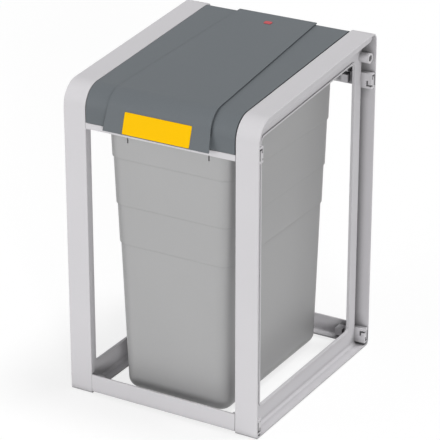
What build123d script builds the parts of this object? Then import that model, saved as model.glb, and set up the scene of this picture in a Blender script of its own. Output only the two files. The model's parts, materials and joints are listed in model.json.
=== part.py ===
"""Free-standing waste bin frame: two moulded side frames, four rails, a hinged lid and a lift-out bin.

Millimetres. X is across the front, Y runs from the front to the back, Z is up.
The origin is on the floor, in the middle of the whole outline seen from above.
"""

import os
from math import cos, radians, sin, sqrt, tan

from build123d import *

os.makedirs("parts", exist_ok=True)

# Overall sizes
overall_width = 365
frame_depth = 406
front_height = 555
rear_rise = 33
lip_reach = 13

# Side frames: a broad outer band with a thin web standing in its middle
band_width = 42
band_wall = 3
web_thickness = 3.2
web_set_in = 20.4
web_depth = 43
base_web_depth = 39
web_root_radius = 5
front_top_radius = 40
rear_top_radius = 14
front_base_radius = 4
rear_base_radius = 8
inner_corner_radius = 7
window_radius = 8
bead_width = 3
bead_height = 2
band_edge_radius = 1.2
post_groove_width = 13
post_groove_depth = 12
top_wall_thickness = 3

# Rails: an angle section, the same height all round
rail_height = 32
rail_reach = 22
rail_wall = 3
rail_flange = 3.4
rail_bend_radius = 6
rail_edge_radius = 1
lower_rail_floor_gap = 4.5
upper_rail_drop = 37
rail_end_gap = 0.3
rail_lip_height = 10.8
rail_lip_wall = 4

# Connectors that join the rail ends to the side frames
plug_width = 9
plug_height = 22
plug_fit = 0.4
tongue_length = 14
head_gap = 0.5
head_width = 12
head_height = 28
head_end_gap = 0.5
head_outer_corner_radius = 3
head_corner_radius = 1
head_edge_radius = 0.6
slit_width = 3.2
slit_reach = 9.5
slit_long_leg = 20
slit_short_leg = 8
slit_depth = 6
hook_width = 10
hook_drop = 8
hook_depth = 4.5

# Hinge: a hollow boss on each side frame and a pin in the lid's cheek
hinge_inset = 18
hinge_drop = 42
boss_radius = 9
boss_stop_short = 2.5
pin_radius = 5.5
pin_recess = 16
pin_clearance = 0.05
pin_head_radius = 8
pin_head_thickness = 2
cheek_radius = 11
cheek_thickness = 5
cheek_reach = 18

# Lid shell
lid_side_gap = 1.6
lid_rear_inset = 14
lid_wall = 2.8
lid_skirt_depth = 16
lid_skirt_wall = 2.4
lid_rear_radius = 6
apron_seat_gap = 0.3
skirt_rise = 6

# Raised centre panel with the finger lip
panel_rise = 2.2
panel_wall = 2.6
panel_rear_width = 150
panel_front_width = 192
panel_lip_width = 199
panel_corner_radius = 38
flare_angle = 17
lip_below_apron = 1.5

# Blank label and blank badge
label_width = 125
label_height = 36
label_thickness = 0.9
label_edge_margin = 1.2
label_play = 0.4
label_corner_radius = 1.5
badge_width = 14
badge_depth = 10
badge_thickness = 0.8
badge_corner_radius = 2.5
badge_inset = 36

# Bin: a tapered tub with three small steps, hung by its rim on the upper rails. The bands between
# the steps are measured down from the rim
bin_floor_gap = 4
bin_base_width = 201
bin_base_front_inset = 40.7
bin_base_rear_inset = 37.9
bin_corner_radius = 23.5
bin_base_radius = 20
bin_wall = 2.4
bin_step = 1.5
top_band_height = 84.3
upper_band_height = 84
middle_band_height = 71
bin_side_draft_share = 0.030
bin_front_draft_share = 0.021
bin_rear_draft_share = 0.009
rim_seat_gap = 0.3
rim_thickness = 3.2
rim_side_reach = 10.5
rim_rail_cover = 16
rim_corner_radius = 30
slot_spacing = 153
slot_width = 2.2
slot_height = 22
slot_drop = 54

# Cuts run this far past the faces they open
overrun = 1

# Places that follow from the sizes
outer_x = overall_width / 2
inner_x = outer_x - band_width
web_outer_x = outer_x - web_set_in
web_inner_x = web_outer_x - web_thickness
rear_y = (frame_depth + lip_reach) / 2
front_y = rear_y - frame_depth
middle_y = (front_y + rear_y) / 2
top_slope = rear_rise / frame_depth
slant = sqrt(1 + top_slope**2)
middle_plane = Plane.XZ.offset(-middle_y)


def top_z(y):
    """Height of the sloping top at a place along the depth."""
    return front_height + (y - front_y) * top_slope


upper_rail_top = front_height - upper_rail_drop
upper_rail_base = upper_rail_top - rail_height
lower_plug_z = lower_rail_floor_gap + rail_height / 2
upper_plug_z = upper_rail_base + rail_height / 2
hinge_y = rear_y - hinge_inset
hinge_z = top_z(hinge_y) - hinge_drop
lid_half = inner_x - lid_side_gap
lid_rear_y = rear_y - lid_rear_inset
rail_end_x = inner_x - rail_end_gap
apron_z = upper_rail_base + rail_lip_height + apron_seat_gap
skirt_base_z = upper_rail_top + skirt_rise
lip_z = apron_z - lip_below_apron


# Side frames
def side_outline(inset, base_inset, front_base, rear_base, rear_top, front_top):
    """Outline of the side frame, drawn in by an inset, with its four corner radii."""
    low_y = front_y + inset
    high_y = rear_y - inset
    drop = inset * slant
    corners = [
        (low_y, base_inset),
        (high_y, base_inset),
        (high_y, top_z(high_y) - drop),
        (low_y, top_z(low_y) - drop),
    ]
    with BuildSketch() as outline:
        with BuildLine():
            FilletPolyline(*corners, radius=[front_base, rear_base, rear_top, front_top], close=True)
        make_face()
    return outline.sketch


band_outline = side_outline(
    0, 0, front_base_radius, rear_base_radius, rear_top_radius, front_top_radius
)
channel_outline = side_outline(
    band_wall,
    band_wall,
    inner_corner_radius,
    inner_corner_radius,
    rear_top_radius - band_wall,
    front_top_radius - band_wall,
)
bead_outline = side_outline(
    web_depth - bead_width,
    base_web_depth - bead_width,
    window_radius + bead_width,
    window_radius + bead_width,
    window_radius + bead_width,
    window_radius + bead_width,
)
window_outline = side_outline(
    web_depth, base_web_depth, window_radius, window_radius, window_radius, window_radius
)

plug_inset = band_wall + head_gap + head_width / 2
plug_places = [
    (front_y + plug_inset, lower_plug_z),
    (rear_y - plug_inset, lower_plug_z),
    (front_y + plug_inset, upper_plug_z),
    (rear_y - plug_inset, upper_plug_z),
]

# A groove runs up each post beside the band, and the connectors' heads stand in it
groove_floor_x = web_outer_x - post_groove_depth
groove_inset = band_wall + post_groove_width / 2
ridge_width = post_groove_width + web_thickness
ridge_inset = band_wall + ridge_width / 2
with BuildSketch() as groove_strips:
    with Locations((front_y + groove_inset, front_height / 2), (rear_y - groove_inset, front_height / 2)):
        Rectangle(post_groove_width, 2 * front_height)
    add(channel_outline, mode=Mode.INTERSECT)
with BuildSketch() as ridge_strips:
    with Locations((front_y + ridge_inset, front_height / 2), (rear_y - ridge_inset, front_height / 2)):
        Rectangle(ridge_width, 2 * front_height)
    add(channel_outline, mode=Mode.INTERSECT)

# A rounded wall closes the channel along the sloping top, from the band's edge down to the web. It
# starts above the front connector and ends at the rear groove
top_wall_radius = web_set_in - band_edge_radius
top_wall_front_y = front_y + band_wall
top_wall_rear_y = rear_y - band_wall - post_groove_width
with BuildLine(Plane.YZ.offset(web_outer_x)) as top_wall_path:
    FilletPolyline(
        (top_wall_front_y, front_height / 2),
        (top_wall_front_y, top_z(top_wall_front_y) - band_wall * slant),
        (top_wall_rear_y, top_z(top_wall_rear_y) - band_wall * slant),
        radius=front_top_radius - band_wall,
    )
with BuildPart() as top_wall:
    with BuildSketch(Plane.XY.offset(front_height / 2)):
        with Locations((web_outer_x, top_wall_front_y)):
            Circle(top_wall_radius)
            Circle(top_wall_radius - top_wall_thickness, mode=Mode.SUBTRACT)
        with Locations((web_outer_x - web_thickness / 2, front_y + band_wall / 2)):
            Rectangle(
                2 * top_wall_radius,
                2 * top_wall_radius,
                align=(Align.MIN, Align.MIN),
                mode=Mode.INTERSECT,
            )
    sweep(path=top_wall_path.line)
    split(bisect_by=Plane.XY.offset(upper_plug_z + head_height / 2 + head_end_gap), keep=Keep.TOP)

with BuildPart() as right_side_frame:
    with BuildSketch(Plane.YZ.offset(inner_x)):
        add(band_outline)
        add(channel_outline, mode=Mode.SUBTRACT)
    extrude(amount=band_width)
    with BuildSketch(Plane.YZ.offset(web_inner_x)):
        add(channel_outline)
        add(window_outline, mode=Mode.SUBTRACT)
    extrude(amount=web_thickness)
    web_faces = faces().filter_by(Axis.X).sort_by(SortBy.AREA)[-2:]
    fillet([edge for face in web_faces for edge in face.outer_wire().edges()], radius=web_root_radius)
    rim_faces = [faces().sort_by(Axis.X)[0], faces().sort_by(Axis.X)[-1]]
    fillet([edge for face in rim_faces for edge in face.outer_wire().edges()], radius=band_edge_radius)
    with BuildSketch(Plane.YZ.offset(groove_floor_x - web_thickness)):
        add(ridge_strips.sketch)
    extrude(amount=post_groove_depth + web_thickness)
    with BuildSketch(Plane.YZ.offset(groove_floor_x)):
        add(groove_strips.sketch)
    extrude(amount=post_groove_depth + web_root_radius, mode=Mode.SUBTRACT)
    with BuildSketch(Plane.YZ.offset(web_outer_x)):
        add(bead_outline)
        add(window_outline, mode=Mode.SUBTRACT)
    extrude(amount=bead_height)
    add(top_wall.part)
    with BuildSketch(Plane.YZ.offset(inner_x)):
        with Locations((hinge_y, hinge_z)):
            Circle(boss_radius)
    extrude(amount=band_width - boss_stop_short)
    with BuildSketch(Plane.YZ.offset(inner_x - overrun)):
        with Locations((hinge_y, hinge_z)):
            Circle(pin_radius + pin_clearance)
    extrude(amount=band_width, mode=Mode.SUBTRACT)
    with BuildSketch(Plane.YZ.offset(groove_floor_x - web_thickness - overrun)):
        for plug_y, plug_z in plug_places:
            with Locations((plug_y, plug_z)):
                Rectangle(plug_width + 2 * plug_fit, plug_height + 2 * plug_fit)
    extrude(amount=web_thickness + 2 * overrun, mode=Mode.SUBTRACT)


# Rails
def rail(profile, radii):
    """A rail of one section, as long as the space between the side frames."""
    with BuildPart() as bar:
        with BuildSketch(Plane.YZ):
            with BuildLine():
                FilletPolyline(*profile, radius=radii, close=True)
            make_face()
        extrude(amount=rail_end_x, both=True)
    return bar


lower_rail_top = lower_rail_floor_gap + rail_height
front_lower_rail = rail(
    [
        (front_y, lower_rail_floor_gap),
        (front_y + rail_reach, lower_rail_floor_gap),
        (front_y + rail_reach, lower_rail_floor_gap + rail_flange),
        (front_y + rail_wall, lower_rail_floor_gap + rail_flange),
        (front_y + rail_wall, lower_rail_top),
        (front_y, lower_rail_top),
    ],
    [rail_edge_radius, rail_edge_radius, rail_edge_radius, rail_bend_radius, rail_edge_radius, rail_edge_radius],
)

with BuildPart() as rear_lower_rail:
    mirror(front_lower_rail.part, about=middle_plane)

rear_upper_rail = rail(
    [
        (rear_y, upper_rail_base),
        (rear_y, upper_rail_top),
        (rear_y - rail_reach, upper_rail_top),
        (rear_y - rail_reach, upper_rail_top - rail_flange),
        (rear_y - rail_wall, upper_rail_top - rail_flange),
        (rear_y - rail_wall, upper_rail_base),
    ],
    [rail_edge_radius, rail_edge_radius, rail_edge_radius, rail_edge_radius, rail_bend_radius, rail_edge_radius],
)

rebate_y = front_y + rail_lip_wall
front_upper_rail = rail(
    [
        (front_y, upper_rail_base),
        (rebate_y + rail_wall, upper_rail_base),
        (rebate_y + rail_wall, upper_rail_top - rail_flange),
        (front_y + rail_reach, upper_rail_top - rail_flange),
        (front_y + rail_reach, upper_rail_top),
        (rebate_y, upper_rail_top),
        (rebate_y, upper_rail_base + rail_lip_height),
        (front_y, upper_rail_base + rail_lip_height),
    ],
    [rail_edge_radius] * 2 + [rail_bend_radius] + [rail_edge_radius] * 5,
)


# Connectors
def connector(wall_y, inward, plug_z, upward, rail_wall_face):
    """A plug that joins a rail's right end to the side frame.

    A tongue lies in the rail, a plug goes through the pocket in the groove's floor, and a slit
    head stands in the groove. Inward is +1 at the front and -1 at the back. Upward is +1 on the
    upper rails and -1 on the lower ones, whose heads are the same shape turned over.
    """
    tongue_width = rail_reach - abs(rail_wall_face - wall_y)
    tongue_height = rail_height - 2 * (rail_flange + rail_bend_radius)
    tongue_y = rail_wall_face + inward * tongue_width / 2
    plug_y = wall_y + inward * plug_inset
    head_start_x = groove_floor_x + head_gap
    head_end_x = outer_x - head_end_gap
    outer_side_y = wall_y + inward * (band_wall + head_gap)
    inner_side_y = outer_side_y + inward * head_width
    head_tip_z = plug_z + upward * head_height / 2
    head_foot_z = plug_z - upward * head_height / 2
    head_outline = [
        (outer_side_y, head_tip_z),
        (inner_side_y, head_tip_z),
        (inner_side_y, head_foot_z),
        (outer_side_y, head_foot_z),
    ]
    slit_z = head_tip_z - upward * slit_width
    short_leg_y = outer_side_y + inward * (slit_reach - slit_width / 2)
    hook_z = plug_z - upward * hook_drop
    with BuildPart() as plug:
        with BuildSketch(Plane.YZ.offset(rail_end_x - tongue_length)):
            with Locations((tongue_y, plug_z)):
                Rectangle(tongue_width, tongue_height)
        extrude(amount=tongue_length)
        with BuildSketch(Plane.YZ.offset(rail_end_x)):
            with Locations((plug_y, plug_z)):
                Rectangle(plug_width, plug_height)
        extrude(amount=head_start_x - rail_end_x)
        with BuildSketch(Plane.YZ.offset(head_start_x)):
            with BuildLine():
                FilletPolyline(
                    *head_outline,
                    radius=[head_outer_corner_radius] + [head_corner_radius] * 3,
                    close=True,
                )
            make_face()
        extrude(amount=head_end_x - head_start_x)
        fillet(faces().sort_by(Axis.X)[-1].edges(), radius=head_edge_radius)
        with BuildSketch(Plane.YZ.offset(head_end_x)):
            with Locations((outer_side_y + inward * slit_reach / 2, slit_z - upward * slit_width / 2)):
                Rectangle(slit_reach, slit_width)
            with Locations((outer_side_y + inward * slit_width / 2, slit_z - upward * slit_long_leg / 2)):
                Rectangle(slit_width, slit_long_leg)
            with Locations((short_leg_y, slit_z - upward * slit_short_leg / 2)):
                Rectangle(slit_width, slit_short_leg)
        extrude(amount=-slit_depth, mode=Mode.SUBTRACT)
        with BuildSketch(Plane.XZ.offset(-inner_side_y)):
            with Locations((head_end_x - hook_width / 2, hook_z)):
                Rectangle(hook_width, slit_width)
            with Locations((head_end_x - hook_width + slit_width / 2, hook_z + upward * hook_drop / 2)):
                Rectangle(slit_width, hook_drop)
        extrude(amount=hook_depth, both=True, mode=Mode.SUBTRACT)
    return plug


lower_front_face = front_y + rail_wall
upper_front_face = rebate_y + rail_wall
rear_face = rear_y - rail_wall
right_connectors = {
    "front_lower_right_connector": connector(front_y, 1, lower_plug_z, -1, lower_front_face),
    "rear_lower_right_connector": connector(rear_y, -1, lower_plug_z, -1, rear_face),
    "front_upper_right_connector": connector(front_y, 1, upper_plug_z, 1, upper_front_face),
    "rear_upper_right_connector": connector(rear_y, -1, upper_plug_z, 1, rear_face),
}


# Lid shell
lid_base_z = top_z(lid_rear_y) - lid_skirt_depth * slant
lid_inner_rear_y = lid_rear_y - lid_wall
lid_drop = lid_wall * slant
shell_profile = [
    (lid_rear_y, lid_base_z),
    (lid_rear_y, top_z(lid_rear_y)),
    (front_y, front_height),
    (front_y, apron_z),
    (front_y + lid_wall, apron_z),
    (front_y + lid_wall, top_z(front_y + lid_wall) - lid_drop),
    (lid_inner_rear_y, top_z(lid_inner_rear_y) - lid_drop),
    (lid_inner_rear_y, lid_base_z),
]
shell_radii = [
    0,
    lid_rear_radius,
    front_top_radius,
    rail_edge_radius,
    0,
    front_top_radius - lid_wall,
    lid_rear_radius - lid_wall,
    0,
]
skirt_drop = lid_skirt_depth * slant
skirt_front_y = front_y + lid_skirt_depth
skirt_profile = [
    (lid_rear_y, lid_base_z),
    (lid_rear_y, top_z(lid_rear_y)),
    (front_y, front_height),
    (front_y, apron_z),
    (skirt_front_y, apron_z),
    (skirt_front_y, top_z(skirt_front_y) - skirt_drop),
]
skirt_radii = [0, lid_rear_radius, front_top_radius, 0, 0, 0]

with BuildPart() as lid_shell:
    with BuildSketch(Plane.YZ):
        with BuildLine():
            FilletPolyline(*shell_profile, radius=shell_radii, close=True)
        make_face()
    extrude(amount=lid_half, both=True)
    with BuildSketch(Plane.YZ.offset(lid_half - lid_skirt_wall)):
        with BuildLine():
            FilletPolyline(*skirt_profile, radius=skirt_radii, close=True)
        make_face()
        with Locations((front_y, skirt_base_z)):
            Rectangle(
                lid_skirt_depth * 3,
                skirt_base_z - apron_z + overrun,
                align=(Align.CENTER, Align.MAX),
                mode=Mode.SUBTRACT,
            )
    extrude(amount=lid_skirt_wall)
    with BuildSketch(Plane.YZ.offset(lid_half - cheek_thickness)):
        with Locations((hinge_y, hinge_z)):
            Circle(cheek_radius)
        with Locations((lid_rear_y - cheek_reach / 2, top_z(lid_rear_y) - lid_skirt_depth)):
            Rectangle(cheek_reach, lid_wall)
        make_hull()
    extrude(amount=cheek_thickness)
    with BuildSketch(Plane.YZ.offset(lid_half - cheek_thickness - overrun)):
        with Locations((hinge_y, hinge_z)):
            Circle(pin_radius)
    extrude(amount=cheek_thickness + 2 * overrun, mode=Mode.SUBTRACT)
    mirror(about=Plane.YZ)

# Hinge pins
with BuildPart() as right_hinge_pin:
    with BuildSketch(Plane.YZ.offset(lid_half - cheek_thickness - pin_head_thickness)):
        with Locations((hinge_y, hinge_z)):
            Circle(pin_head_radius)
    extrude(amount=pin_head_thickness)
    with BuildSketch(Plane.YZ.offset(lid_half - cheek_thickness)):
        with Locations((hinge_y, hinge_z)):
            Circle(pin_radius)
    extrude(amount=outer_x - boss_stop_short - pin_recess - lid_half + cheek_thickness)

# Centre panel: lies on the shell, then flares forward into the finger lip
flare = radians(flare_angle)
lip_y = front_y - lip_reach
inner_lip_y = lip_y + panel_wall / cos(flare)


def flare_corner(start_y, rise):
    """Where a flare that starts at the lip's edge meets the sloping top, lifted by a rise."""
    climb = front_height + rise - front_y * top_slope - lip_z
    return (start_y + climb * tan(flare)) / (1 - top_slope * tan(flare))


panel_corner_y = flare_corner(lip_y, panel_rise * slant)
inner_corner_y = flare_corner(inner_lip_y, 0)
panel_profile = [
    (lid_rear_y, top_z(lid_rear_y)),
    (lid_rear_y, top_z(lid_rear_y) + panel_rise * slant),
    (panel_corner_y, top_z(panel_corner_y) + panel_rise * slant),
    (lip_y, lip_z),
    (inner_lip_y, lip_z),
    (inner_corner_y, top_z(inner_corner_y)),
]
panel_radii = [0, rail_edge_radius, panel_corner_radius, 0, 0, front_top_radius]
panel_plan = [
    (panel_rear_width / 2, lid_rear_y + overrun),
    (panel_front_width / 2, front_y),
    (panel_lip_width / 2, lip_y - overrun),
    (-panel_lip_width / 2, lip_y - overrun),
    (-panel_front_width / 2, front_y),
    (-panel_rear_width / 2, lid_rear_y + overrun),
]
label_plane = Plane(
    origin=(
        0,
        lip_y + (label_edge_margin + label_height / 2) * sin(flare),
        lip_z + (label_edge_margin + label_height / 2) * cos(flare),
    ),
    x_dir=(1, 0, 0),
    z_dir=(0, -cos(flare), sin(flare)),
)

with BuildPart() as lid_panel:
    with BuildSketch(Plane.YZ):
        with BuildLine():
            FilletPolyline(*panel_profile, radius=panel_radii, close=True)
        make_face()
    extrude(amount=panel_lip_width / 2, both=True)
    with BuildSketch(Plane.XY):
        with BuildLine():
            Polyline(*panel_plan, close=True)
        make_face()
    extrude(amount=front_height + rear_rise + lip_reach, mode=Mode.INTERSECT)
    with BuildSketch(label_plane.offset(overrun)):
        RectangleRounded(
            label_width + 2 * label_play,
            label_height + 2 * label_play,
            label_corner_radius + label_play,
        )
    extrude(amount=-label_thickness - overrun, mode=Mode.SUBTRACT)

# Blank label
with BuildPart() as label_plate:
    with BuildSketch(label_plane):
        RectangleRounded(label_width, label_height, label_corner_radius)
    extrude(amount=-label_thickness)

# Blank badge
badge_y = lid_rear_y - badge_inset
badge_plane = Plane(
    origin=(0, badge_y, top_z(badge_y) + panel_rise * slant),
    x_dir=(1, 0, 0),
    z_dir=(0, -top_slope, 1),
)
with BuildPart() as badge_plate:
    with BuildSketch(badge_plane):
        RectangleRounded(badge_width, badge_depth, badge_corner_radius)
    extrude(amount=badge_thickness)

# Bin
rim_z = upper_rail_top + rim_seat_gap
third_step_z = rim_z - top_band_height
second_step_z = third_step_z - upper_band_height
first_step_z = second_step_z - middle_band_height
step_levels = [first_step_z, second_step_z, third_step_z]


def bin_limits(z, steps, inset):
    """Half width, front and rear of the bin at a height, after a count of steps, drawn in by an inset."""
    rise = z - bin_floor_gap
    grow = steps * bin_step - inset
    half = bin_base_width / 2 + rise * bin_side_draft_share + grow
    front = front_y + bin_base_front_inset - rise * bin_front_draft_share - grow
    rear = rear_y - bin_base_rear_inset + rise * bin_rear_draft_share + grow
    return half, front, rear


def bin_face(z, steps, inset):
    """One rounded level of the bin, as a face at its height."""
    half, front, rear = bin_limits(z, steps, inset)
    with BuildSketch(Plane.XY.offset(z)) as level:
        with Locations((0, (front + rear) / 2)):
            RectangleRounded(2 * half, rear - front, bin_corner_radius - inset)
    return level.sketch


def tub(inset, levels, base_radius):
    """The tapered and stepped tub, as a full block between its levels, drawn in by an inset."""
    with BuildPart() as block:
        for steps, (low, high) in enumerate(zip(levels[:-1], levels[1:])):
            loft([bin_face(low, steps, inset), bin_face(high, steps, inset)], ruled=True)
        base = faces().sort_by(Axis.Z)[0]
        fillet(base.edges(), radius=base_radius)
    return block.part


rim_top = rim_z + rim_thickness
bin_block = tub(0, [bin_floor_gap] + step_levels + [rim_z], bin_base_radius)
bin_hollow = tub(
    bin_wall,
    [bin_floor_gap + bin_wall] + step_levels + [rim_top + overrun],
    bin_base_radius - bin_wall,
)
top_half, top_front, top_rear = bin_limits(rim_z, len(step_levels), 0)
rim_front = front_y + rail_reach - rim_rail_cover
rim_rear = rear_y - rail_reach + rim_rail_cover

with BuildPart() as bin_body:
    add(bin_block)
    with BuildSketch(Plane.XY.offset(rim_z)):
        with Locations((0, (rim_front + rim_rear) / 2)):
            RectangleRounded(2 * (top_half + rim_side_reach), rim_rear - rim_front, rim_corner_radius)
    extrude(amount=rim_thickness)
    fillet(faces().sort_by(Axis.Z)[-1].edges(), radius=rail_edge_radius)
    add(bin_hollow, mode=Mode.SUBTRACT)
    with BuildSketch(Plane.XZ.offset(-top_front - bin_corner_radius)):
        with Locations((0, rim_z - slot_drop + slot_height / 2)):
            with GridLocations(slot_spacing, 0, 2, 1):
                SlotOverall(slot_height, slot_width, rotation=90)
    extrude(amount=bin_corner_radius + overrun, mode=Mode.SUBTRACT)


# Left-hand pieces are mirror images of the right-hand ones
def left_hand(piece):
    """The mirror image of a right-hand piece, on the left side."""
    with BuildPart() as image:
        mirror(piece.part, about=Plane.YZ)
    return image


pieces = {
    "right_side_frame": right_side_frame,
    "left_side_frame": left_hand(right_side_frame),
    "front_lower_rail": front_lower_rail,
    "rear_lower_rail": rear_lower_rail,
    "front_upper_rail": front_upper_rail,
    "rear_upper_rail": rear_upper_rail,
    "lid_shell": lid_shell,
    "lid_panel": lid_panel,
    "label_plate": label_plate,
    "badge_plate": badge_plate,
    "right_hinge_pin": right_hinge_pin,
    "left_hinge_pin": left_hand(right_hinge_pin),
    "bin_body": bin_body,
}
for name, plug in right_connectors.items():
    pieces[name] = plug
    pieces[name.replace("right", "left")] = left_hand(plug)

for name, piece in pieces.items():
    piece.part.label = name
    export_step(piece.part, f"parts/{name}.step")
    print(name, len(piece.part.solids()), round(piece.part.volume))
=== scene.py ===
import json
import math

import bmesh
import bpy
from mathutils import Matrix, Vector


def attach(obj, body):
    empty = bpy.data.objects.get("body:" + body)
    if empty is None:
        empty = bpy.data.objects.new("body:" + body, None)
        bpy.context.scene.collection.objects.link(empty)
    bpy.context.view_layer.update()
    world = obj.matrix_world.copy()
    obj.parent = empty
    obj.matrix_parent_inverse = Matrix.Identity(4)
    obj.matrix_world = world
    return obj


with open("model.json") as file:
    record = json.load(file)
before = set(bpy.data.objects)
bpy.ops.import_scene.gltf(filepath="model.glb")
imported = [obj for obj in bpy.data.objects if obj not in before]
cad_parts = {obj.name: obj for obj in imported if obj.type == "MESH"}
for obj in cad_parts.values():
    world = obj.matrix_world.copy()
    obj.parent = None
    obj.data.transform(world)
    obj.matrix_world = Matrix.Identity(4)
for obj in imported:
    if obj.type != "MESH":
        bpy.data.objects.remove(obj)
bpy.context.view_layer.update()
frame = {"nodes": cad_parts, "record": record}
print("frame loaded:", len(frame["nodes"]), "nodes")


# Node helpers, where the owner is a material or the world

def addNode(owner, kind, settings=None, **inputs):
    node = owner.node_tree.nodes.new(kind)
    for key, value in (settings or {}).items():
        setattr(node, key, value)
    for key, value in inputs.items():
        node.inputs[key.replace("_", " ")].default_value = value
    return node


def join(owner, fromNode, fromSocket, toNode, toSocket):
    owner.node_tree.links.new(fromNode.outputs[fromSocket], toNode.inputs[toSocket])


def newMaterial(name):
    material = bpy.data.materials.new(name)
    material.use_nodes = True
    material.node_tree.nodes.clear()
    return material


# Materials

# what all the mouldings share
mould = {
    "flowDetail": 3.0, "flowRoughness": 0.55, "flowLow": 0.3, "flowHigh": 0.7,
    "grainDetail": 2.0, "grainRoughness": 0.6, "grainLow": 0.35, "grainHigh": 0.65,
    "flat": 0.995, "sharp": 0.9, "rubGain": 1.15, "rubLift": 0.02,
    "sheenSwing": 0.05, "edgeSamples": 6, "recessSamples": 8,
}


def shifted(colour, gain, lift=0.0):
    return (*[min(1, c * gain + lift) for c in colour], 1)


def multiplied(material, first, firstSocket, second, secondSocket):
    product = addNode(material, "ShaderNodeMix", {"data_type": "RGBA", "blend_type": "MULTIPLY"})
    product.inputs["Factor"].default_value = 1.0
    join(material, first, firstSocket, product, "A")
    join(material, second, secondSocket, product, "B")
    return product


def mouldedPlastic(look):
    material = newMaterial(look["name"])
    place = addNode(material, "ShaderNodeTexCoord")
    shader = addNode(material, "ShaderNodeBsdfPrincipled")
    shader.inputs["Specular IOR Level"].default_value = look["specular"]
    output = addNode(material, "ShaderNodeOutputMaterial")

    # slow drift of the colour over the moulding, as from the flow of the melt
    flow = addNode(material, "ShaderNodeTexNoise", Scale=look["flowScale"],
                   Detail=mould["flowDetail"], Roughness=mould["flowRoughness"])
    join(material, place, "Object", flow, "Vector")
    drift = addNode(material, "ShaderNodeValToRGB")
    darker, lighter = drift.color_ramp.elements[0], drift.color_ramp.elements[1]
    darker.position = mould["flowLow"]
    darker.color = shifted(look["colour"], 1 - look["drift"])
    lighter.position = mould["flowHigh"]
    lighter.color = shifted(look["colour"], 1 + look["drift"])
    join(material, flow, "Fac", drift, "Fac")

    # fine speckle of the grain in the colour
    grain = addNode(material, "ShaderNodeTexNoise", Scale=look["grainScale"],
                    Detail=mould["grainDetail"], Roughness=mould["grainRoughness"])
    join(material, place, "Object", grain, "Vector")
    speckle = addNode(material, "ShaderNodeMapRange", From_Min=mould["grainLow"], From_Max=mould["grainHigh"],
                      To_Min=1 - look["speckle"], To_Max=1 + look["speckle"])
    join(material, grain, "Fac", speckle, "Value")
    speckled = multiplied(material, drift, "Color", speckle, "Result")

    # handling rubs the edges a little lighter, where the rounded normal leaves the true one
    softNormal = addNode(material, "ShaderNodeBevel", {"samples": mould["edgeSamples"]},
                         Radius=look["edgeWidth"])
    trueNormal = addNode(material, "ShaderNodeNewGeometry")
    facing = addNode(material, "ShaderNodeVectorMath", {"operation": "DOT_PRODUCT"})
    join(material, softNormal, "Normal", facing, 0)
    join(material, trueNormal, "Normal", facing, 1)
    edge = addNode(material, "ShaderNodeMapRange", From_Min=mould["flat"], From_Max=mould["sharp"],
                   To_Min=0.0, To_Max=look["edgeWear"])
    join(material, facing, "Value", edge, "Value")
    worn = addNode(material, "ShaderNodeMix", {"data_type": "RGBA", "blend_type": "MIX"})
    worn.inputs["B"].default_value = shifted(look["colour"], mould["rubGain"], mould["rubLift"])
    join(material, edge, "Result", worn, "Factor")
    join(material, speckled, "Result", worn, "A")

    # painted shade: ambient occlusion darkens the colour in the slots, recesses, creases and gaps, standing
    # in for the shade that falls there
    recess = addNode(material, "ShaderNodeAmbientOcclusion", {"samples": mould["recessSamples"]},
                     Distance=look["recessReach"])
    paintedShade = addNode(material, "ShaderNodeMapRange", From_Min=look["recessDeep"], From_Max=look["recessOpen"],
                   To_Min=1 - look["recessShade"], To_Max=1.0)
    join(material, recess, "AO", paintedShade, "Value")
    shadeDarkened = multiplied(material, worn, "Result", paintedShade, "Result")
    join(material, shadeDarkened, "Result", shader, "Base Color")

    # the sheen varies a little with the flow
    sheen = addNode(material, "ShaderNodeMapRange", From_Min=mould["flowLow"], From_Max=mould["flowHigh"],
                    To_Min=look["roughness"] - mould["sheenSwing"],
                    To_Max=look["roughness"] + mould["sheenSwing"])
    join(material, flow, "Fac", sheen, "Value")
    join(material, sheen, "Result", shader, "Roughness")

    # the etched grain of the mould, on softened edges
    bump = addNode(material, "ShaderNodeBump", Strength=look["grainStrength"], Distance=look["grainDepth"])
    join(material, grain, "Fac", bump, "Height")
    join(material, softNormal, "Normal", bump, "Normal")
    join(material, bump, "Normal", shader, "Normal")
    join(material, shader, "BSDF", output, "Surface")
    return material


framePlastic = mouldedPlastic({
    "name": "frameLightGrey", "colour": (0.640, 0.628, 0.648), "flowScale": 5.0, "drift": 0.012,
    "grainScale": 1400.0, "speckle": 0.02, "grainStrength": 0.12, "grainDepth": 0.0002,
    "roughness": 0.62, "specular": 0.16, "edgeWidth": 0.0012, "edgeWear": 0.5,
    "recessReach": 0.025, "recessDeep": 0.3, "recessOpen": 0.73, "recessShade": 0.62,
})
lidPlastic = mouldedPlastic({
    "name": "lidBlueGrey", "colour": (0.137, 0.152, 0.164), "flowScale": 6.0, "drift": 0.03,
    "grainScale": 1100.0, "speckle": 0.05, "grainStrength": 0.2, "grainDepth": 0.0003,
    "roughness": 0.55, "specular": 0.2, "edgeWidth": 0.0010, "edgeWear": 0.35,
    "recessReach": 0.004, "recessDeep": 0.45, "recessOpen": 0.9, "recessShade": 0.55,
})
tubPlastic = mouldedPlastic({
    "name": "tubGrey", "colour": (0.400, 0.400, 0.402), "flowScale": 4.0, "drift": 0.02,
    "grainScale": 1300.0, "speckle": 0.025, "grainStrength": 0.1, "grainDepth": 0.0002,
    "roughness": 0.42, "specular": 0.45, "edgeWidth": 0.0012, "edgeWear": 0.3,
    "recessReach": 0.004, "recessDeep": 0.5, "recessOpen": 0.95, "recessShade": 0.3,
})
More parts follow.
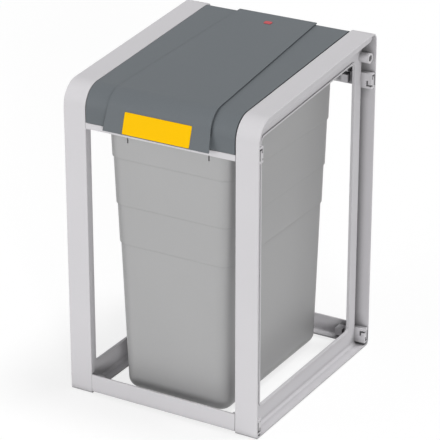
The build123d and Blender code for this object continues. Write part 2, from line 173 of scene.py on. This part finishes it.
pinPlastic = mouldedPlastic({
    "name": "pinDarkGrey", "colour": (0.05, 0.05, 0.053), "flowScale": 30.0, "drift": 0.05,
    "grainScale": 2400.0, "speckle": 0.05, "grainStrength": 0.1, "grainDepth": 0.0001,
    "roughness": 0.4, "specular": 0.5, "edgeWidth": 0.0006, "edgeWear": 0.4,
    "recessReach": 0.003, "recessDeep": 0.4, "recessOpen": 0.9, "recessShade": 0.3,
})
labelPlastic = mouldedPlastic({
    "name": "labelYellow", "colour": (0.955, 0.545, 0.0005), "flowScale": 12.0, "drift": 0.01,
    "grainScale": 1800.0, "speckle": 0.012, "grainStrength": 0.05, "grainDepth": 0.0001,
    "roughness": 0.6, "specular": 0.06, "edgeWidth": 0.0003, "edgeWear": 0.2,
    "recessReach": 0.002, "recessDeep": 0.4, "recessOpen": 0.9, "recessShade": 0.3,
})
badgePlastic = mouldedPlastic({
    "name": "badgeRed", "colour": (0.54, 0.065, 0.080), "flowScale": 40.0, "drift": 0.03,
    "grainScale": 2600.0, "speckle": 0.02, "grainStrength": 0.05, "grainDepth": 0.0001,
    "roughness": 0.5, "specular": 0.3, "edgeWidth": 0.0003, "edgeWear": 0.3,
    "recessReach": 0.002, "recessDeep": 0.4, "recessOpen": 0.9, "recessShade": 0.3,
})

finishes = {
    "frame_plastic": framePlastic, "lid_plastic": lidPlastic, "bin_plastic": tubPlastic,
    "pin_plastic": pinPlastic, "label_plastic": labelPlastic, "badge_plastic": badgePlastic,
}
for part in frame["record"]["subparts"]:
    node = frame["nodes"][part["node"]]
    node.data.materials.clear()
    node.data.materials.append(finishes[part["material_slot"]])


# Ribs under the lid: some run to the back, some run across

underLid = {
    "frontY": -0.152, "rearY": 0.182, "halfWidth": 0.126, "lengthwise": 7, "crosswise": 8,
    "frontZ": 0.55582, "slope": 0.08128,
    "depth": 0.0070, "rootWidth": 0.0022, "tipWidth": 0.0014, "sink": 0.0008,
}


def treeSocket(tree, name, kind, value):
    socket = tree.interface.new_socket(name=name, in_out="INPUT", socket_type=kind)
    socket.default_value = value
    return socket


def ribTree(material):
    tree = bpy.data.node_groups.new("mouldedRibs", "GeometryNodeTree")
    sockets = {
        "First": treeSocket(tree, "First", "NodeSocketVector", (0, 0, 0)),
        "Last": treeSocket(tree, "Last", "NodeSocketVector", (0, 0, 0)),
        "Run": treeSocket(tree, "Run", "NodeSocketVector", (0, 0, 0)),
        "Count": treeSocket(tree, "Count", "NodeSocketInt", underLid["lengthwise"]),
        "Depth": treeSocket(tree, "Depth", "NodeSocketFloat", underLid["depth"]),
        "Root width": treeSocket(tree, "Root width", "NodeSocketFloat", underLid["rootWidth"]),
        "Tip width": treeSocket(tree, "Tip width", "NodeSocketFloat", underLid["tipWidth"]),
    }
    tree.interface.new_socket(name="Geometry", in_out="OUTPUT", socket_type="NodeSocketGeometry")
    groupIn = tree.nodes.new("NodeGroupInput")
    groupOut = tree.nodes.new("NodeGroupOutput")

    spread = tree.nodes.new("GeometryNodeMeshLine")  # where each rib starts
    spread.mode = "END_POINTS"
    tree.links.new(groupIn.outputs["Count"], spread.inputs["Count"])
    tree.links.new(groupIn.outputs["First"], spread.inputs["Start Location"])
    tree.links.new(groupIn.outputs["Last"], spread.inputs["Offset"])

    spine = tree.nodes.new("GeometryNodeCurvePrimitiveLine")  # one rib, from its start along its run
    tree.links.new(groupIn.outputs["Run"], spine.inputs["End"])

    section = tree.nodes.new("GeometryNodeCurvePrimitiveQuadrilateral")  # tapered section, root up
    section.mode = "TRAPEZOID"
    section.inputs["Offset"].default_value = 0
    tree.links.new(groupIn.outputs["Depth"], section.inputs["Height"])
    tree.links.new(groupIn.outputs["Root width"], section.inputs["Top Width"])
    tree.links.new(groupIn.outputs["Tip width"], section.inputs["Bottom Width"])

    upright = tree.nodes.new("GeometryNodeSetCurveNormal")
    upright.mode = "Z_UP"
    tree.links.new(spine.outputs["Curve"], upright.inputs["Curve"])
    sweep = tree.nodes.new("GeometryNodeCurveToMesh")
    sweep.inputs["Fill Caps"].default_value = True
    tree.links.new(upright.outputs["Curve"], sweep.inputs["Curve"])
    tree.links.new(section.outputs["Curve"], sweep.inputs["Profile Curve"])

    repeat = tree.nodes.new("GeometryNodeInstanceOnPoints")
    tree.links.new(spread.outputs["Mesh"], repeat.inputs["Points"])
    tree.links.new(sweep.outputs["Mesh"], repeat.inputs["Instance"])
    real = tree.nodes.new("GeometryNodeRealizeInstances")
    tree.links.new(repeat.outputs["Instances"], real.inputs["Geometry"])
    paint = tree.nodes.new("GeometryNodeSetMaterial")
    paint.inputs["Material"].default_value = material
    tree.links.new(real.outputs["Geometry"], paint.inputs["Geometry"])
    tree.links.new(paint.outputs["Geometry"], groupOut.inputs["Geometry"])
    return tree, sockets


def ribSet(name, tree, sockets, values):
    holder = bpy.data.objects.new(name + "Maker", bpy.data.meshes.new(name + "Maker"))
    bpy.context.collection.objects.link(holder)
    ribs = holder.modifiers.new("ribs", "NODES")
    ribs.node_group = tree
    for label, value in values.items():
        ribs[sockets[label].identifier] = value
    evaluated = holder.evaluated_get(bpy.context.evaluated_depsgraph_get())
    mesh = bpy.data.meshes.new_from_object(evaluated)
    bpy.data.objects.remove(holder)
    return mesh


ribNodes, ribSockets = ribTree(lidPlastic)
ribRootZ = underLid["frontZ"] + underLid["sink"] - underLid["depth"] / 2
ribLength = underLid["rearY"] - underLid["frontY"]
ribRise = ribLength * underLid["slope"]
half, frontY = underLid["halfWidth"], underLid["frontY"]
ribShape = {
    "Depth": underLid["depth"], "Root width": underLid["rootWidth"], "Tip width": underLid["tipWidth"],
}
lengthwise = ribSet("lengthwise", ribNodes, ribSockets, {
    "First": (-half, frontY, ribRootZ), "Last": (half, frontY, ribRootZ),
    "Run": (0, ribLength, ribRise), "Count": underLid["lengthwise"], **ribShape,
})
crosswise = ribSet("crosswise", ribNodes, ribSockets, {
    "First": (-half, frontY, ribRootZ), "Last": (-half, frontY + ribLength, ribRootZ + ribRise),
    "Run": (2 * half, 0, 0), "Count": underLid["crosswise"], **ribShape,
})
grid = bmesh.new()
grid.from_mesh(lengthwise)
grid.from_mesh(crosswise)
bmesh.ops.recalc_face_normals(grid, faces=grid.faces)
ribMesh = bpy.data.meshes.new("lid_ribs")
grid.to_mesh(ribMesh)
grid.free()
ribMesh.materials.clear()
ribMesh.materials.append(lidPlastic)
lidRibs = bpy.data.objects.new("lid_ribs", ribMesh)
bpy.context.collection.objects.link(lidRibs)
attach(lidRibs, "lid")
print("ribs under the lid:", len(ribMesh.polygons), "faces")


# Floor and backdrop

studio = {
    "floorSize": 60.0, "floorDrop": 0.0005, "floorGrey": 0.26, "floorGlow": 0.78, "floorBounce": 0.95,
    "ambient": 0.26, "backdrop": 1.0,
}


def grey(level):
    return (level, level, level, 1)


# 1 for a ray from the camera, a gloss or a clear piece, and 0 for scattered light
def seenDirectly(owner):
    rays = addNode(owner, "ShaderNodeLightPath")
    cameraOrGloss = addNode(owner, "ShaderNodeMath", {"operation": "MAXIMUM"})
    join(owner, rays, "Is Camera Ray", cameraOrGloss, 0)
    join(owner, rays, "Is Glossy Ray", cameraOrGloss, 1)
    seen = addNode(owner, "ShaderNodeMath", {"operation": "MAXIMUM"})
    join(owner, cameraOrGloss, "Value", seen, 0)
    join(owner, rays, "Is Transmission Ray", seen, 1)
    return seen


bpy.ops.mesh.primitive_plane_add(size=studio["floorSize"], location=(0, 0, -studio["floorDrop"]))
floor = bpy.context.object
floor.name = "studio_floor"
floorPaint = newMaterial("studioFloor")
floorSeen = addNode(floorPaint, "ShaderNodeBsdfDiffuse", Color=grey(studio["floorGrey"]))
floorGlow = addNode(floorPaint, "ShaderNodeEmission", Color=grey(1), Strength=studio["floorGlow"])
floorLift = addNode(floorPaint, "ShaderNodeAddShader")
floorBounce = addNode(floorPaint, "ShaderNodeBsdfDiffuse", Color=grey(studio["floorBounce"]))
floorPick = addNode(floorPaint, "ShaderNodeMixShader")
floorOut = addNode(floorPaint, "ShaderNodeOutputMaterial")
join(floorPaint, floorSeen, "BSDF", floorLift, 0)
join(floorPaint, floorGlow, "Emission", floorLift, 1)
join(floorPaint, seenDirectly(floorPaint), "Value", floorPick, "Fac")
join(floorPaint, floorBounce, "BSDF", floorPick, 1)
join(floorPaint, floorLift, "Shader", floorPick, 2)
join(floorPaint, floorPick, "Shader", floorOut, "Surface")
floor.data.materials.append(floorPaint)

world = bpy.data.worlds.new("studio")
bpy.context.scene.world = world
world.use_nodes = True
world.node_tree.nodes.clear()
skyLight = addNode(world, "ShaderNodeBackground", Color=grey(1), Strength=studio["ambient"])
skyBack = addNode(world, "ShaderNodeBackground", Color=grey(1), Strength=studio["backdrop"])
skyPick = addNode(world, "ShaderNodeMixShader")
skyOut = addNode(world, "ShaderNodeOutputWorld")
join(world, seenDirectly(world), "Value", skyPick, "Fac")
join(world, skyLight, "Background", skyPick, 1)
join(world, skyBack, "Background", skyPick, 2)
join(world, skyPick, "Shader", skyOut, "Surface")
print("floor and backdrop set")


# Light and camera, placed by azimuth and elevation in degrees, with azimuth 0 in front

lamps = {
    "keyLight": {"azimuth": -38, "elevation": 8, "strength": 1.26, "softness": 40},
    "frontLight": {"azimuth": 40, "elevation": 12, "strength": 1.07, "softness": 12},
    "sideLight": {"azimuth": 125, "elevation": 76, "strength": 1.46, "softness": 16},
}
view = {
    "azimuth": 30.16, "elevation": 23.74, "distance": 3.928, "target": (0, -0.0031, 0.2816),
    "lens": 189.2, "sensorWidth": 36,
}


def outward(place):
    across, up = math.radians(place["azimuth"]), math.radians(place["elevation"])
    return Vector((math.sin(across) * math.cos(up), -math.cos(across) * math.cos(up), math.sin(up)))


def lookBack(direction):
    return direction.to_track_quat("Z", "Y").to_euler()


for name, lamp in lamps.items():
    sunData = bpy.data.lights.new(name, "SUN")
    sunData.energy = lamp["strength"]
    sunData.angle = math.radians(lamp["softness"])
    sun = bpy.data.objects.new(name, sunData)
    bpy.context.collection.objects.link(sun)
    sun.rotation_euler = lookBack(outward(lamp))

cameraData = bpy.data.cameras.new("photoCamera")
cameraData.lens = view["lens"]
cameraData.sensor_width = view["sensorWidth"]
camera = bpy.data.objects.new("photoCamera", cameraData)
bpy.context.collection.objects.link(camera)
camera.location = Vector(view["target"]) + outward(view) * view["distance"]
camera.rotation_euler = lookBack(outward(view))
bpy.context.scene.camera = camera
bpy.context.scene.view_settings.view_transform = "Standard"
print("light and camera set")
